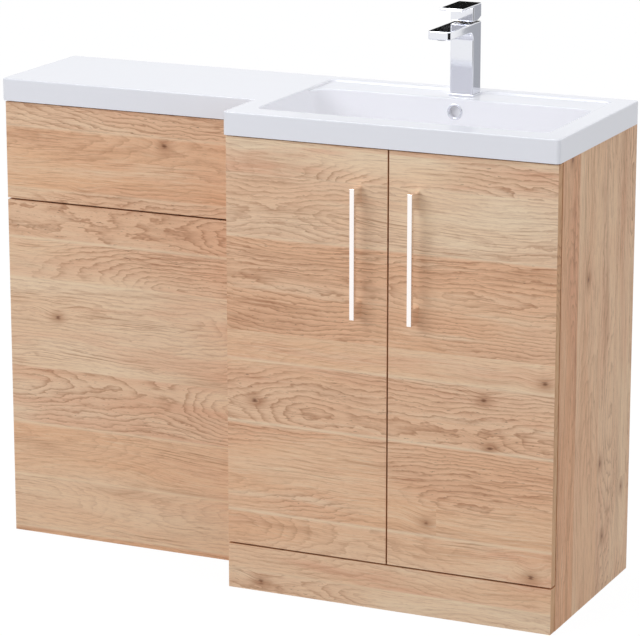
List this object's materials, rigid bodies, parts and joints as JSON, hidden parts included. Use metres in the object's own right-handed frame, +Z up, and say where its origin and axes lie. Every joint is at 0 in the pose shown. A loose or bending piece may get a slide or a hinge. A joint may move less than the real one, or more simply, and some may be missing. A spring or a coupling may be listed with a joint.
{
  "type": "toilet and basin combination unit",
  "caption": "Back-to-wall toilet housing joined to a deeper two-door vanity under one L-shaped top with a moulded basin and a lever tap.",
  "frame": {"origin": "on the floor, midway across the unit and midway between the wall and the handles", "axes": "+X to the right as seen from the front, along the wall; +Y towards the wall; +Z up"},
  "size_m": [1.105, 0.415, 1.001],
  "materials": {
    "oak": "light oak laminate, satin",
    "carcass": "light oak laminate board, satin",
    "gloss_white": "cast resin, gloss white",
    "chrome": "polished",
    "steel": "zinc plated",
    "white_plastic": "moulded, white",
    "grey_plastic": "moulded, grey",
    "rubber": "black",
    "brass": "turned"
  },
  "bodies": {
    "unit": {"wc_side_left": "carcass", "wc_side_right": "carcass", "wc_front_panel": "oak", "wc_front_rails": "carcass", "wc_back_rails": "carcass", "fixing_blocks": "white_plastic", "clip_sockets": "grey_plastic", "cistern_tank": "white_plastic", "cistern_screws": "steel", "flush_valve": "white_plastic", "fill_valve": "white_plastic", "flush_pipe": "white_plastic", "vanity_side_left": "oak", "vanity_side_right": "oak", "vanity_base": "carcass", "vanity_shelf": "carcass", "shelf_pegs": "steel", "vanity_front_rail": "carcass", "vanity_back_rails": "carcass", "plinth": "oak", "hinge_arms": "steel", "hinge_screws": "steel", "door_buffers": "white_plastic", "cam_locks": "steel", "cam_bolts": "brass", "joining_bolts": "steel", "basin_top": "gloss_white", "overflow_ring": "chrome", "waste_flange": "chrome", "waste_tail": "chrome", "waste_seals": "rubber", "waste_backnut": "chrome", "trap_body": "chrome", "trap_cup": "chrome", "trap_nuts": "chrome", "trap_outlet": "chrome", "tap_body": "chrome", "tap_cartridge": "white_plastic", "cartridge_nut": "brass", "tap_aerator": "steel", "tap_gasket": "rubber", "tap_clamp": "brass"},
    "door_left": {"door_left": "oak", "handle_left": "chrome", "door_screws_left": "steel", "hinge_cups_left": "steel"},
    "door_right": {"door_right": "oak", "handle_right": "chrome", "door_screws_right": "steel", "hinge_cups_right": "steel"},
    "hinge_link_left": {"hinge_links_left": "steel"},
    "hinge_link_right": {"hinge_links_right": "steel"},
    "access_panel": {"wc_access_panel": "oak", "clip_studs": "white_plastic"},
    "plug": {"waste_plug": "chrome"},
    "spindle": {"tap_spindle": "steel"},
    "lever": {"tap_lever": "chrome"},
    "cistern_lid": {"cistern_lid": "white_plastic"},
    "flush_plunger": {"flush_plunger": "grey_plastic"},
    "float": {"fill_float": "grey_plastic"}
  },
  "joints": [
    {"name": "door_left_link", "type": "hinge", "parent": "unit", "child": "hinge_link_left", "pos_m": [-0.018, -0.1615, 0.4425], "axis": [0, 0, -1], "range_deg": [-38, 0]},
    {"name": "door_left_swing", "type": "hinge", "parent": "hinge_link_left", "child": "door_left", "pos_m": [-0.039, -0.1615, 0.4425], "axis": [0, 0, -1], "range_deg": [0, 142.8]},
    {"name": "door_right_link", "type": "hinge", "parent": "unit", "child": "hinge_link_right", "pos_m": [0.518, -0.1615, 0.4425], "axis": [0, 0, 1], "range_deg": [-38, 0]},
    {"name": "door_right_swing", "type": "hinge", "parent": "hinge_link_right", "child": "door_right", "pos_m": [0.539, -0.1615, 0.4425], "axis": [0, 0, 1], "range_deg": [0, 142.8]},
    {"name": "access_panel_pull", "type": "slide", "parent": "unit", "child": "access_panel", "axis": [0, -1, 0], "range_m": [0, 0.03]},
    {"name": "tap_swivel", "type": "hinge", "parent": "unit", "child": "spindle", "pos_m": [0.2515, 0.1555, 0.969], "axis": [0, 0, 1], "range_deg": [-45, 45]},
    {"name": "tap_lift", "type": "hinge", "parent": "spindle", "child": "lever", "pos_m": [0.2515, 0.1555, 0.977], "axis": [-1, 0, 0], "range_deg": [0, 18]},
    {"name": "plug_rise", "type": "slide", "parent": "unit", "child": "plug", "axis": [0, 0, 1], "range_m": [0, 0.008]},
    {"name": "cistern_lid_lift", "type": "slide", "parent": "unit", "child": "cistern_lid", "axis": [0, 0, 1], "range_m": [0, 0.03]},
    {"name": "flush_lift", "type": "slide", "parent": "unit", "child": "flush_plunger", "axis": [0, 0, 1], "range_m": [0, 0.025]},
    {"name": "float_rise", "type": "slide", "parent": "unit", "child": "float", "axis": [0, 0, 1], "range_m": [0, 0.06]}
  ],
  "couplings": [
    {"joint": "door_left_link", "follows": "door_left_swing", "ratio": -0.26471},
    {"joint": "door_right_link", "follows": "door_right_swing", "ratio": -0.26471}
  ]
}
